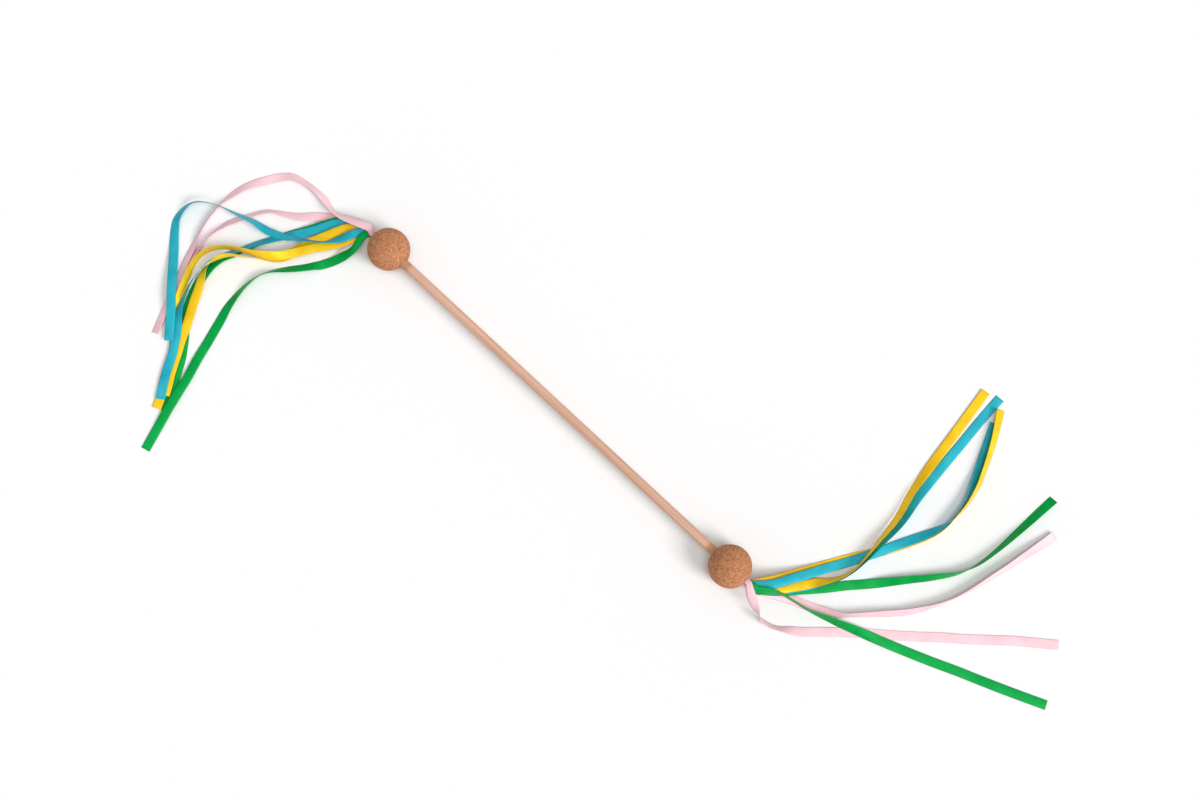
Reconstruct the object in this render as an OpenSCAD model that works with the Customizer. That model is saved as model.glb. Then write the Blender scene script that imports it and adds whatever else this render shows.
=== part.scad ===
// Cat teaser wand: a wooden dowel with a cork ball on each end and eight satin ribbons out of each ball.
// Units are millimetres. X runs along the dowel, Z is up, and Z = 0 is the table that the wand lies on.

/* [Dowel] */
// Length of the rod, whose ends stop inside the balls
dowel_length = 500; // [300:10:800]
// Diameter of the rod
dowel_diameter = 10; // [6:0.5:14]
// How far the rod runs past the middle of each ball
dowel_past_middle = 7.5; // [0:0.5:12]
// Bevel on the rod's end edges
dowel_bevel = 0.8; // [0.2:0.1:1.5]

/* [Cork balls] */
// Diameter of each ball
ball_diameter = 45; // [35:1:60]
// Radial clearance of the bore round the rod
bore_clearance = 0.05; // [0.02:0.01:0.2]

/* [Glue plugs] */
// How far the set glue stays back from the mouth of the bore
glue_setback = 0.6; // [0.2:0.1:2]
// Clearance round the ribbon roots in the glue
glue_clearance = 0.05; // [0.02:0.01:0.15]

/* [Ribbons] */
// Width of a ribbon
ribbon_width = 10; // [6:0.5:14]
// Thickness of a ribbon
ribbon_thickness = 0.4; // [0.2:0.05:0.5]
// Share of the bore's width that a gathered ribbon takes
gathered_share = 0.65; // [0.55:0.01:0.68]
// Share of the bore's height that the stack of gathered ribbons takes
stack_share = 0.64; // [0.55:0.01:0.66]
// How far a ribbon runs straight out of the mouth before it turns
straight_lead = 2; // [1.5:0.1:2.5]
// Length over which a ribbon opens out to its full width
opening_length = 14; // [8:1:30]

/* [Ribbon roots] */
// Length of the block where the ribbon ends are glued together
root_block_length = 6; // [3:0.5:10]
// Gap between the ends of the roots and the free ribbons
root_gap = 0.3; // [0.2:0.05:0.6]

/* [Resolution] */
// Facets round the balls
ball_facets = 72; // [36:4:96]
// Facets round the rod and the bores
bore_facets = 40; // [24:4:64]

/* [Hidden] */
overrun = 1;

wood = "#d7ac93";
cork = "#b98558";
glue = "#e9dfc8";
pink = "#f8d7de";
turquoise = "#3cb9cd";
yellow = "#fac82d";
green = "#0aaa50";

ball_radius = ball_diameter / 2;
bore_diameter = dowel_diameter + 2 * bore_clearance;
rod_end = dowel_length / 2;
ball_middle = rod_end - dowel_past_middle;
pole = ball_middle + ball_radius;
mouth = ball_middle + sqrt(pow(ball_radius, 2) - pow(bore_diameter / 2, 2));
wand_height = ball_radius;

layers = 8;
gathered_width = gathered_share * bore_diameter;
stack_height = stack_share * bore_diameter;
layer_pitch = (stack_height - ribbon_thickness) / (layers - 1);
glue_start = rod_end + bore_clearance;
glue_end = mouth - glue_setback;
roots_start = glue_start + glue_clearance;
roots_end = pole;
ribbon_start = roots_end + root_gap;

// Each row of a route is one place on a ribbon's middle line, from the ball to the tip:
// distance out from the ball's pole, place across the dowel, height of the lower edge, and roll in degrees.
// A roll of 0 lies flat, and a positive roll lifts the edge on the left of the way that the ribbon runs.
left_pink_route_1 = [
    [4, 1.2, 25.2, 0], [9, 2.4, 24.8, -3], [15, 1, 23.2, -8], [21, -1, 20.8, -14], [27, -3, 18, -20],
    [33, -5, 15, -28], [39, -7, 12, -38], [45, -8.5, 9, -50], [51, -9.3, 6.5, -57], [58, -8.9, 4, -57],
    [65, -7.5, 2.4, -49], [72, -6, 1.4, -43], [81, -5.4, 0.6, -50], [91, -5.7, 0.2, -52],
    [99, -7, 0.2, -48], [106, -8.6, 0.2, -40], [112, -10.6, 0.2, -30], [117.5, -14, 0.2, -20],
    [124, -21, 0.2, -10], [130, -30, 0.2, -2], [136.3, -40, 0.2, -12], [141.5, -50, 0.2, -26],
    [145, -60, 0.2, -30], [147, -70, 0.2, -38], [148, -79, 0.2, -50], [148.3, -87, 0.2, -61],
    [147.8, -95, 0.2, -63], [146.6, -105, 0.2, -62], [144.7, -115, 0.2, -60], [142.2, -124, 0.2, -57],
    [139.5, -132, 0.2, -51], [136, -141, 0.2, -40], [132.2, -152, 0.2, -31], [127.5, -163, 0.2, -28],
    [120.5, -180, 0.2, -25], [113.5, -198, 0.2, -26], [106.5, -215, 0.2, -29], [99.5, -231.5, 0.2, -30]
];
left_pink_route_2 = [
    [5, -1.2, 17.8, 0], [12, -2.4, 15.4, 0], [20, -4, 12.6, 0], [28, -6, 9.4, 0], [36, -8.5, 6.4, 0],
    [43, -11, 3.9, -4], [49, -14, 2.1, -9], [55, -17.5, 0.9, -15], [61, -21.5, 0.2, -12],
    [68, -28, 0.2, -9], [75, -35, 0.2, -19], [81, -40.3, 0.2, -26], [88, -44.8, 0.2, -39],
    [95, -48.8, 0.2, -49], [101, -52.5, 0.2, -55], [107, -57.8, 0.2, -52], [112, -65, 0.2, -49],
    [116, -72, 0.2, -47], [120, -79, 0.2, -43], [124, -86.5, 0.2, -37], [127.7, -94.5, 0.2, -41],
    [130, -103, 0.2, -50], [131.5, -112, 0.2, -58], [131.9, -121, 0.2, -64], [131.4, -131, 0.2, -62],
    [130.4, -140, 0.2, -52], [128.8, -150, 0.2, -37], [126, -160, 0.2, -24], [121.9, -171, 0.2, -15],
    [117.2, -182, 0.2, -10], [112.4, -193, 0.2, -8], [107, -203, 0.2, -6]
];
left_turquoise_route_1 = [
    [5, -1.5, 23.1, 0], [10.5, -6, 21.9, 0], [16.5, -12, 20, -4], [20, -19, 17.8, -14],
    [23.3, -26, 15.8, -24], [27.5, -32, 14.4, -44], [31.5, -37.5, 13.6, -60], [36, -42, 13.1, -66],
    [42.5, -47, 12.6, -65], [49.5, -52, 12.1, -62], [57.2, -57.1, 11.5, -53], [63, -60.6, 11, -42],
    [68, -64, 10.5, -35], [73.2, -66.5, 10, -27], [79, -69, 9.6, -24], [88, -72.2, 9.2, -26],
    [97, -74, 9, -38], [106.5, -75.6, 9, -52], [116, -78.8, 9.2, -58], [126, -82.3, 9.6, -66],
    [135.8, -85.3, 10, -73], [143.7, -88, 10.1, -75], [151, -91.2, 9.4, -74], [157.5, -94.8, 8.2, -71],
    [163, -98.5, 6.7, -67], [168, -102.8, 4.8, -61], [171.2, -108, 3, -54], [172.9, -114, 1.5, -47],
    [173, -121, 0.6, -40], [170.8, -130, 0.2, -28], [166, -137, 0.2, -17], [159, -145, 0.6, -8],
    [149, -155, 2.3, 0], [138, -166, 5.3, 0], [126, -178, 8.5, 0], [113, -191.5, 9.8, 0],
    [99, -207, 7, 0], [82.5, -227, 4.4, 0]
];
left_turquoise_route_2 = [
    [6, -2, 19.9, 0], [13, -4, 17.7, 0], [21, -6.5, 15.3, 0], [29, -9, 13, 0], [36, -11.8, 11, 0],
    [40.8, -16, 9.7, 0], [45.4, -22.2, 8.2, 0], [50, -30, 6.6, 0], [54.8, -38, 5.2, 0],
    [60, -46, 3.8, 0], [65.5, -53, 2.8, -8], [70.8, -60, 2, -21], [76.8, -69.5, 1.5, -32],
    [82, -77.5, 1.4, -38], [86.7, -85, 1.4, -42], [90.7, -92.5, 1.4, -43], [94.3, -100, 1.4, -43],
    [98, -108, 1.5, -46], [101.8, -115, 1.6, -52], [106.2, -121.5, 1.6, -62], [109.8, -128, 1.5, -69],
    [112, -135, 1.2, -73], [112.8, -142, 1, -74], [112.8, -150, 0.8, -72], [112.2, -158, 0.8, -68],
    [109.8, -168, 1.6, -61], [105.8, -178, 3, -54], [101.3, -188, 4.2, -44], [95.6, -198.5, 4.4, -28],
    [90.5, -206, 4.1, -12], [85, -213, 3.6, 0], [77, -224, 3.3, 0], [69.5, -235.5, 3.2, 0],
    [62, -250, 3.2, 0], [55, -262, 3.2, 0], [45, -277, 3.2, 0]
];
left_yellow_route_1 = [
    [5, -1.8, 22.1, 0], [9.5, -6.5, 20.9, 0], [13, -12, 19.2, 0], [17, -19, 16.8, 0], [20.3, -26, 14.8, 0],
    [24.8, -33, 13.4, 0], [30, -40.5, 12.3, 0], [38, -50, 11.6, 0], [45, -60.3, 11.2, 0], [51, -70, 11, 5],
    [57.5, -80, 11, 12], [64, -87.5, 11.1, 26], [71.5, -93.8, 11.2, 46], [79.5, -98.7, 11.1, 66],
    [88, -103.5, 10.6, 72], [97, -108.3, 9.7, 78], [105.5, -113.5, 7.5, 80], [112.5, -118.7, 4.6, 81],
    [118, -124.2, 2, 80], [122, -130.5, 0.6, 79], [124, -138, 0.2, 79], [123.9, -146, 0.2, 77],
    [121.7, -156, 0.2, 72], [117.5, -166, 0.2, 66], [112.8, -176.5, 0.2, 58], [107.5, -187, 0.3, 40],
    [101, -198, 0.8, 18], [92.5, -209, 1.1, 4], [83, -219.5, 1.2, 0], [73.5, -230, 1.2, 0],
    [67, -240, 1.2, 0], [61.5, -250, 1.2, 0], [55.5, -260, 1.2, 0], [49.5, -270, 1.2, 0],
    [45, -279, 1.2, 0], [41.2, -286.5, 1.2, 0]
];
left_yellow_route_2 = [
    [6, -2, 20.9, 0], [13, -4.5, 18.7, 0], [20, -7.5, 16.7, 0], [26, -11.5, 15, 0], [30.2, -16, 13.8, 0],
    [33, -21, 12.7, 0], [35.7, -26, 11.8, 0], [38, -31, 10.9, 0], [40.7, -36, 10, 0],
    [43.5, -41.5, 8.9, 0], [46.5, -48, 7.6, 0], [49.3, -55, 6.2, 0], [52, -63, 4.6, 4],
    [54.5, -71, 3.2, 12], [58, -80, 1.8, 30], [63.5, -88, 0.8, 52], [70.5, -94.8, 0.3, 78],
    [78, -101, 0.3, 96], [85.5, -106.7, 1.8, 96], [92.5, -112.3, 4.3, 91], [98.5, -117.5, 5.8, 84],
    [103.5, -123.5, 6.1, 80], [106.4, -130, 5.8, 86], [108, -136, 5.2, 98], [108.8, -142, 4.8, 116],
    [108.3, -148, 4.4, 134], [106, -154, 3.8, 152], [102.8, -161, 3.2, 168], [98.8, -169, 2.7, 176],
    [93.6, -180, 2.3, 180], [86, -194, 2.2, 180], [78.2, -209, 2.2, 180], [73, -220, 2.2, 180],
    [67.4, -230, 2.2, 180], [62.3, -240, 2.2, 180], [57, -250, 2.2, 180], [50.7, -260, 2.2, 180],
    [44.3, -271, 2.2, 180]
];
left_green_route_1 = [
    [4.4, -1.8, 24.1, 0], [6.6, -6.3, 23.3, 0], [7, -11.3, 22.4, 0], [6.3, -16, 20.6, 0],
    [6, -21, 17.5, -4], [6.8, -25.5, 13.9, -5], [8.6, -30.2, 10.2, -5], [10.9, -35, 7, 0],
    [13.3, -39.8, 4.2, 0], [15.8, -44.8, 2.3, 0], [18.5, -50, 1, 0], [24, -59.5, 0.2, -3],
    [28, -65, 0.2, -20], [32, -70.5, 0.2, -27], [37.5, -77.5, 0.2, -33], [43.5, -84.5, 0.2, -37],
    [49, -91, 0.2, -46], [54, -97, 0.2, -56], [58.5, -103.5, 0.2, -65], [61.8, -110, 0.2, -68],
    [64, -117, 0.2, -65], [65.2, -124, 0.2, -59], [65.8, -132, 0.2, -53], [65.6, -141, 0.2, -45],
    [64.8, -150, 0.2, -35], [63.3, -160, 0.2, -22], [60.8, -170, 0.2, -8], [58, -180, 0.3, 0],
    [52.5, -200, 0.8, 0], [47.3, -220, 1.6, 0], [41, -240, 2.6, 0], [36, -260, 3.1, 0], [31, -280, 3, 0],
    [25.7, -300, 1.4, 0], [19, -325, 0.2, 0]
];
left_green_route_2 = [
    [6, -2, 18.9, 0], [13, -4, 16.6, 0], [21, -6.3, 14, 0], [29, -8.7, 11.5, 0], [36.5, -11, 9.5, 0],
    [43, -14.8, 7.9, 0], [47.8, -21.3, 6.4, 0], [52.5, -29.2, 4.9, 0], [57.3, -37.2, 3.5, 0],
    [62.3, -45.2, 2.2, 0], [67.3, -52.8, 1.2, -8], [72, -60, 0.5, -20], [77.3, -69, 0.2, -30],
    [82.2, -77.5, 0.2, -37], [86.6, -85, 0.2, -41], [90.3, -92.5, 0.2, -43], [93.8, -100, 0.2, -40],
    [97.2, -107.5, 0.2, -30], [100.5, -114.2, 0.2, -20], [103.5, -120, 0.2, -18],
    [106, -126.5, 0.2, -20], [107.2, -133.5, 0.2, -21], [107.5, -141, 0.2, -22], [107, -150, 0.2, -15],
    [105.5, -160, 0.2, -6], [102.8, -170, 0.2, 0], [98.8, -180, 0.2, 0], [93.5, -190, 0.2, 0],
    [88, -198.5, 0.2, 0], [81.5, -206, 0.2, 0], [74.5, -213.5, 0.2, 0], [67.7, -222, 0.2, 0],
    [60, -232.5, 0.2, 0], [53, -245, 0.2, 0], [46, -258, 0.2, 0], [39, -270.5, 0.2, 0],
    [31.7, -283, 0.2, 0]
];
right_pink_route_1 = [
    [4.4, 0.6, 17.1, 0], [11, 1.8, 14.5, 0], [17, 4, 11.6, 0], [23, 7, 8.8, 0], [29, 10.4, 6.3, 0],
    [35.5, 13.8, 4.1, 0], [42.5, 17.4, 2.4, 0], [50, 21, 1.1, 0], [58, 24.2, 0.4, 0], [66, 27.6, 0.2, 0],
    [74, 31, 0.2, 8], [82, 34.8, 0.2, 25], [89, 38.5, 0.2, 45], [95, 42.6, 0.2, 60],
    [100.5, 47.8, 0.2, 70], [106, 53.5, 0.2, 68], [112.5, 60, 0.2, 64], [120, 67.8, 0.2, 60],
    [128, 75.8, 0.2, 54], [136, 84.3, 0.2, 53], [143.5, 93, 0.2, 55], [150.5, 102.8, 0.2, 60],
    [156.5, 112, 0.2, 70], [162, 121.5, 0.2, 75], [166.8, 131.5, 0.2, 80], [171.3, 142.5, 0.2, 78],
    [175.3, 154, 0.2, 72], [179.2, 167, 0.2, 65], [183, 181, 0.2, 60], [187, 195, 0.2, 55],
    [190.8, 210, 0.2, 48], [194.5, 225, 0.2, 40], [198.3, 240, 0.2, 27], [201.5, 254.5, 0.2, 17]
];
right_pink_route_2 = [
    [4, -0.8, 25.1, 0], [8, -3.8, 24, 8], [12, -6.6, 21.8, 20], [16, -8.8, 19, 30], [20.5, -10.8, 15.8, 34],
    [25, -12.8, 12.5, 48], [29, -14.8, 9.8, 66], [33, -16.5, 7.6, 92], [37, -17.3, 5.8, 112],
    [41.5, -17, 4.2, 118], [47, -15.8, 2.6, 120], [53, -13.4, 1.3, 120], [59, -10, 0.4, 125],
    [64.5, -6.2, 0.2, 142], [70, -2.2, 0.2, 157], [76, 2.2, 0.2, 168], [83, 8.5, 0.2, 175],
    [92, 17, 0.2, 180], [102, 26, 0.2, 180], [113, 35.8, 0.2, 180], [125, 46.2, 0.2, 180],
    [138, 56.5, 0.2, 180], [152, 68, 0.2, 180], [168, 81.5, 0.2, 180], [185, 96.5, 0.2, 180],
    [203, 111, 0.2, 180], [222, 127.5, 0.2, 180], [242, 145, 0.2, 180], [260, 159, 0.2, 180],
    [277.5, 172.5, 0.2, 180]
];
right_turquoise_route_1 = [
    [4.2, 0.6, 19.8, 0], [9, 2.7, 17.6, 0], [14, 5.2, 15.3, 0], [19.3, 8.6, 13, 0], [24.6, 12.4, 10.9, 0],
    [29.8, 16.8, 8.9, 0], [34.5, 22, 7.2, 0], [38.7, 27.5, 5.8, 0], [43.3, 33.3, 4.5, 0],
    [48.3, 40, 3.3, -3], [53.4, 47, 2.3, -15], [58.4, 53.5, 1.6, -38], [63.2, 59.5, 1.4, -58],
    [67.5, 65.8, 1.4, -72], [71, 72.8, 1.5, -80], [73.5, 80.5, 1.7, -84], [75, 89, 2, -82],
    [75.6, 98, 2.2, -78], [75.9, 108, 2.2, -72], [76, 118, 2, -67], [76.3, 128, 1.6, -62],
    [76.8, 138, 1.1, -57], [77, 148, 0.6, -51], [76.5, 158, 0.2, -45], [75.2, 168, 0.2, -37],
    [73.5, 178, 0.2, -30], [72.2, 188, 0.2, -24], [71.4, 199, 0.2, -13], [70.7, 212, 0.2, -4],
    [70, 227, 0.2, 0], [69.3, 244, 0.2, 0], [68.6, 262, 0.2, 0], [67.6, 282, 0.2, 0],
    [66.9, 303, 0.2, 0], [66.5, 325, 0.2, 0]
];
right_turquoise_route_2 = [
    [4, 0.8, 22.9, 0], [8, 3, 21.9, 0], [12, 6.2, 20.6, 0], [16, 10, 18.8, 0], [20, 14.8, 16.7, 0],
    [23.7, 20, 14.5, 0], [27, 25.5, 12.2, 0], [31, 32.5, 9.9, 0], [35.7, 40.3, 7.8, 0],
    [41.5, 50.3, 5.6, 0], [47.3, 60.3, 3.8, 0], [53.3, 70.5, 2.4, 0], [59.3, 80.5, 1.5, 0],
    [65, 90.5, 1.1, 0], [70.5, 100.3, 1, 0], [75.8, 110, 1, 0], [81.3, 120, 1, 0], [86.5, 130, 1, 0],
    [91.5, 140, 1, -5], [97, 150.5, 1, -12], [102, 160.5, 1, -25], [106.5, 170.5, 1, -42],
    [110, 180, 1, -63], [112, 189, 0.8, -85], [112.8, 198, 0.6, -100], [112.5, 207, 0.4, -104],
    [111.5, 216, 0.2, -113], [109.5, 225.5, 0.2, -130], [106, 236, 0.2, -145], [101.8, 247, 0.2, -158],
    [97, 259, 0.2, -168], [92, 271.5, 0.2, -172], [86.5, 285, 0.2, -175], [79.8, 301, 0.2, -176]
];
right_yellow_route_1 = [
    [4.4, 0.8, 20.9, 0], [9, 3, 18.9, 0], [14, 5.8, 16.7, 0], [19, 9.2, 14.5, 0], [24, 13, 12.3, 0],
    [29, 17.3, 10.3, 0], [33.5, 22.6, 8.6, 0], [37.5, 28, 7.1, 0], [42, 33.8, 5.7, 0],
    [47, 40.5, 4.6, -3], [52, 47.5, 3.7, -15], [57, 54, 3.1, -38], [61.8, 60.2, 2.8, -55],
    [66, 66.5, 2.7, -66], [69.5, 73.5, 2.6, -74], [71.8, 81, 2.6, -80], [73.2, 89.5, 2.6, -83],
    [73.6, 98.5, 2.6, -83], [73.4, 108, 2.5, -81], [72.9, 118, 2.4, -79], [72.3, 128, 2.1, -75],
    [71.8, 138, 1.8, -67], [71.3, 148, 1.6, -61], [70.2, 158, 1.3, -57], [68.2, 168, 1, -53],
    [65.7, 178, 1, -50], [63.7, 188, 1, -48], [62.4, 199, 1, -40], [61.2, 212, 1, -27],
    [59.8, 227, 1, -15], [58.3, 244, 1, -7], [56.7, 262, 1, -3], [54.7, 282, 1, 0], [52.7, 301, 1, 0],
    [50.7, 320, 1, 0]
];
right_yellow_route_2 = [
    [4.6, 1.4, 21.9, 0], [8, 5.4, 20.4, 0], [11.5, 9.6, 18.6, 0], [14.6, 13.8, 16.6, 0], [18.3, 18.6, 14, 0],
    [21.8, 24, 11.4, 0], [25.5, 30, 8.9, 0], [30, 37.5, 6.4, 0], [35, 46, 4.2, 0], [40.6, 55.5, 2.4, 0],
    [46.5, 65.5, 1.2, 0], [52.4, 75.5, 0.5, 0], [58.2, 85.3, 0.2, 0], [64, 94.5, 0.2, 0],
    [70, 103.5, 0.2, 0], [76, 112, 0.2, 0], [82.3, 121, 0.2, 0], [88, 130.5, 0.2, 0],
    [93.3, 140.5, 0.2, -5], [98.7, 151, 0.2, -14], [103.9, 161, 0.2, -30], [108.4, 170.5, 0.2, -48],
    [111.7, 179.5, 0.2, -68], [113.7, 189, 0.4, -86], [114.6, 199, 0.6, -102], [114.7, 209, 0.8, -106],
    [114, 219, 1, -112], [112.3, 229.5, 1.2, -118], [109.5, 240.5, 1.4, -123], [105.3, 252, 1.4, -127],
    [100.5, 264, 1.4, -130], [95.3, 276, 1.4, -134], [89.5, 288.5, 1.4, -139], [82.8, 301, 1.4, -145],
    [75, 315.5, 1.4, -155]
];
right_green_route_1 = [
    [4.4, 0.6, 18.5, 0], [11, 2.4, 15.7, 0], [17, 5.3, 13, 0], [23, 9.3, 10.4, 0], [28.5, 14, 8.1, 0],
    [34, 19.5, 6, 0], [39.3, 25, 4.4, 0], [44.2, 30.5, 3.1, 0], [49, 35.8, 2.1, 0], [54, 41, 1.3, 0],
    [59, 46.5, 0.7, 0], [64, 51.8, 0.3, 0], [69, 57.7, 0.2, 0], [75, 65, 0.2, 0], [82, 73, 0.2, 0],
    [90, 81.5, 0.2, 0], [98.5, 90.8, 0.2, 10], [107, 100.5, 0.2, 25], [115.5, 110.2, 0.2, 36],
    [124, 120, 0.2, 42], [132.5, 129.5, 0.2, 47], [140.5, 139, 0.2, 55], [148, 148, 0.2, 65],
    [154.5, 157, 0.2, 76], [159.5, 166.5, 0.2, 88], [163, 177, 0.2, 100], [165.5, 188, 0.2, 105],
    [167.5, 200, 0.2, 110], [169.3, 214, 0.2, 118], [171, 230, 0.2, 128], [172.8, 247, 0.2, 138],
    [174.5, 264, 0.2, 146], [176.5, 282, 0.2, 154]
];
right_green_route_2 = [
    [4, 0.2, 23.9, 0], [8.5, 0.4, 23, 10], [12.5, 0.8, 21.4, 20], [16.5, 2.8, 19.7, 35],
    [20.5, 6.2, 17.8, 48], [24.5, 9.4, 15.6, 57], [29, 12.5, 13, 66], [34, 15, 10.3, 74],
    [40, 17.4, 7.5, 80], [47, 19, 4.8, 82], [54, 20.6, 2.8, 83], [61, 22, 1.7, 82], [68, 23.8, 1.3, 79],
    [75, 26, 1.2, 73], [82, 28.6, 1.2, 65], [89, 31.3, 1.2, 58], [96, 33.8, 1.2, 51],
    [103, 36.4, 1.2, 44], [110, 39.2, 1.2, 36], [118, 42.3, 1.2, 24], [127, 45.6, 1.2, 12],
    [138, 49.6, 1.2, 3], [150, 54, 1, 0], [165, 59.7, 0.5, 0], [182, 66.3, 0.2, 0], [200, 73.6, 0.2, 0],
    [220, 82, 0.2, 0], [242, 90.6, 0.2, 0], [265, 99.8, 0.2, 0], [287, 109, 0.2, 0],
    [307.5, 117.7, 0.2, 0]
];

rings_per_row = 2;
slope_step = 0.002;
section_corners = [[1, 1], [-1, 1], [-1, -1], [1, -1]] / 2;

// Height of a layer's middle above the middle of the bore, where layer 0 is the top one
function layer_height(layer) = ((layers - 1) / 2 - layer) * layer_pitch;

function layer_floor(layer) = wand_height + layer_height(layer) - ribbon_thickness / 2;

// The rows at the mouth come from the layer, and the hand-chosen rows follow them
function whole_route(route, layer) = concat(
    [[root_gap, 0, layer_floor(layer), 0], [straight_lead, 0, layer_floor(layer), 0]],
    route
);

function smooth_between(a, b, c, d, t) =
    (2 * b + (c - a) * t + (2 * a - 5 * b + 4 * c - d) * t * t + (3 * b - a - 3 * c + d) * t * t * t) / 2;

// The route's row at a share from 0 to 1 of the way along it
function row_at(route, share) =
    let (
        spans = len(route) - 1,
        place = min(max(share, 0), 1) * spans,
        i = min(floor(place), spans - 1)
    )
    smooth_between(
        route[max(i - 1, 0)], route[i], route[i + 1], route[min(i + 2, spans)], place - i
    );

// A row's middle point: its lower edge rests at the row's height
function middle_of(row, width) = [
    pole + row[0],
    row[1],
    row[2] + (width * abs(sin(row[3])) + ribbon_thickness * abs(cos(row[3]))) / 2
];

function unit(v) = v / norm(v);

function width_at(row) =
    let (opened = min(row[0] / opening_length, 1))
    gathered_width + (ribbon_width - gathered_width) * opened * opened * (3 - 2 * opened);

// The four corners of the ribbon's section at a share of the way along the route
function ring_at(route, share) =
    let (
        row = row_at(route, share),
        width = width_at(row),
        before = middle_of(row_at(route, share - slope_step), width),
        after = middle_of(row_at(route, share + slope_step), width),
        along = unit(after - before),
        level = unit([-along[1], along[0], 0]),
        up = cross(along, level),
        across = level * cos(row[3]) + up * sin(row[3]),
        face = up * cos(row[3]) - level * sin(row[3]),
        middle = middle_of(row, width)
    )
    [for (corner = section_corners)
        middle + across * corner[0] * width + face * corner[1] * ribbon_thickness];

module swept_ribbon(route, layer) {
    full_route = whole_route(route, layer);
    steps = rings_per_row * (len(full_route) - 1);
    sides = len(section_corners);
    points = [for (k = [0:steps]) each ring_at(full_route, k / steps)];
    // Both faces are split along the same diagonal, so a twisted ribbon keeps its thickness
    walls = [
        for (k = [0:steps - 1], i = [0:sides - 1])
            let (
                a = k * sides + i,
                b = k * sides + (i + 1) % sides
            )
            each i < sides / 2
                ? [[a, b, a + sides], [b, b + sides, a + sides]]
                : [[a, b, b + sides], [a, b + sides, a + sides]]
    ];
    last = steps * sides;
    caps = [[2, 1, 0], [3, 2, 0], [last, last + 1, last + 2], [last, last + 2, last + 3]];
    polyhedron(points, concat(walls, caps));
}

module on_left() {
    mirror([1, 0, 0]) children();
}

module along_dowel(start, end, diameter) {
    translate([start, 0, wand_height])
        rotate([0, 90, 0])
            cylinder(h = end - start, d = diameter, $fn = bore_facets);
}

module dowel() {
    color(wood)
        translate([0, 0, wand_height])
            rotate([0, 90, 0])
                rotate_extrude($fn = bore_facets)
                    polygon([
                        [0, -rod_end],
                        [dowel_diameter / 2 - dowel_bevel, -rod_end],
                        [dowel_diameter / 2, dowel_bevel - rod_end],
                        [dowel_diameter / 2, rod_end - dowel_bevel],
                        [dowel_diameter / 2 - dowel_bevel, rod_end],
                        [0, rod_end]
                    ]);
}

module cork_ball() {
    color(cork)
        difference() {
            translate([ball_middle, 0, wand_height])
                rotate([0, 90, 0])
                    rotate_extrude($fn = ball_facets)
                        intersection() {
                            circle(ball_radius, $fn = ball_facets);
                            translate([0, -ball_radius])
                                square([ball_radius, ball_diameter]);
                        }
            along_dowel(ball_middle - ball_radius - overrun, pole + overrun, bore_diameter);
        }
}

module glue_plug() {
    slot_width = gathered_width + 2 * glue_clearance;
    slot_height = stack_height + 2 * glue_clearance;
    color(glue)
        difference() {
            along_dowel(glue_start, glue_end, bore_diameter - 2 * bore_clearance);
            translate([glue_start - overrun, -slot_width / 2, wand_height - slot_height / 2])
                cube([glue_end - glue_start + 2 * overrun, slot_width, slot_height]);
        }
}

// The ribbon ends are pressed into one block by the glue and part into layers toward the mouth
module ribbon_roots() {
    color(pink) {
        translate([roots_start, -gathered_width / 2, wand_height - stack_height / 2])
            cube([root_block_length, gathered_width, stack_height]);
        for (layer = [0:layers - 1])
            translate([roots_start, -gathered_width / 2, layer_floor(layer)])
                cube([roots_end - roots_start, gathered_width, ribbon_thickness]);
    }
}

module left_ribbon(route, layer, shade) {
    color(shade) on_left() swept_ribbon(route, layer);
}

module right_ribbon(route, layer, shade) {
    color(shade) swept_ribbon(route, layer);
}

module left_cork_ball() {
    on_left() cork_ball();
}

module right_cork_ball() {
    cork_ball();
}

module left_glue_plug() {
    on_left() glue_plug();
}

module right_glue_plug() {
    glue_plug();
}

module left_ribbon_roots() {
    on_left() ribbon_roots();
}

module right_ribbon_roots() {
    ribbon_roots();
}

dowel();
left_cork_ball();
right_cork_ball();
left_glue_plug();
right_glue_plug();
left_ribbon_roots();
right_ribbon_roots();
left_ribbon(left_pink_route_1, 0, pink);  // left_pink_ribbon_1
left_ribbon(left_pink_route_2, 7, pink);  // left_pink_ribbon_2
left_ribbon(left_turquoise_route_1, 2, turquoise);  // left_turquoise_ribbon_1
left_ribbon(left_turquoise_route_2, 5, turquoise);  // left_turquoise_ribbon_2
left_ribbon(left_yellow_route_1, 3, yellow);  // left_yellow_ribbon_1
left_ribbon(left_yellow_route_2, 4, yellow);  // left_yellow_ribbon_2
left_ribbon(left_green_route_1, 1, green);  // left_green_ribbon_1
left_ribbon(left_green_route_2, 6, green);  // left_green_ribbon_2
right_ribbon(right_pink_route_1, 7, pink);  // right_pink_ribbon_1
right_ribbon(right_pink_route_2, 0, pink);  // right_pink_ribbon_2
right_ribbon(right_turquoise_route_1, 5, turquoise);  // right_turquoise_ribbon_1
right_ribbon(right_turquoise_route_2, 2, turquoise);  // right_turquoise_ribbon_2
right_ribbon(right_yellow_route_1, 4, yellow);  // right_yellow_ribbon_1
right_ribbon(right_yellow_route_2, 3, yellow);  // right_yellow_ribbon_2
right_ribbon(right_green_route_1, 6, green);  // right_green_ribbon_1
right_ribbon(right_green_route_2, 1, green);  // right_green_ribbon_2
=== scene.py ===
"""Cat teaser wand: a beech dowel, two cork balls and sixteen satin ribbons, lying on a pale floor.

Everything is in metres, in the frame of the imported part: X runs along the dowel and Z is up.
"""
import math

import bpy
from mathutils import Matrix, Vector, noise


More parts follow.
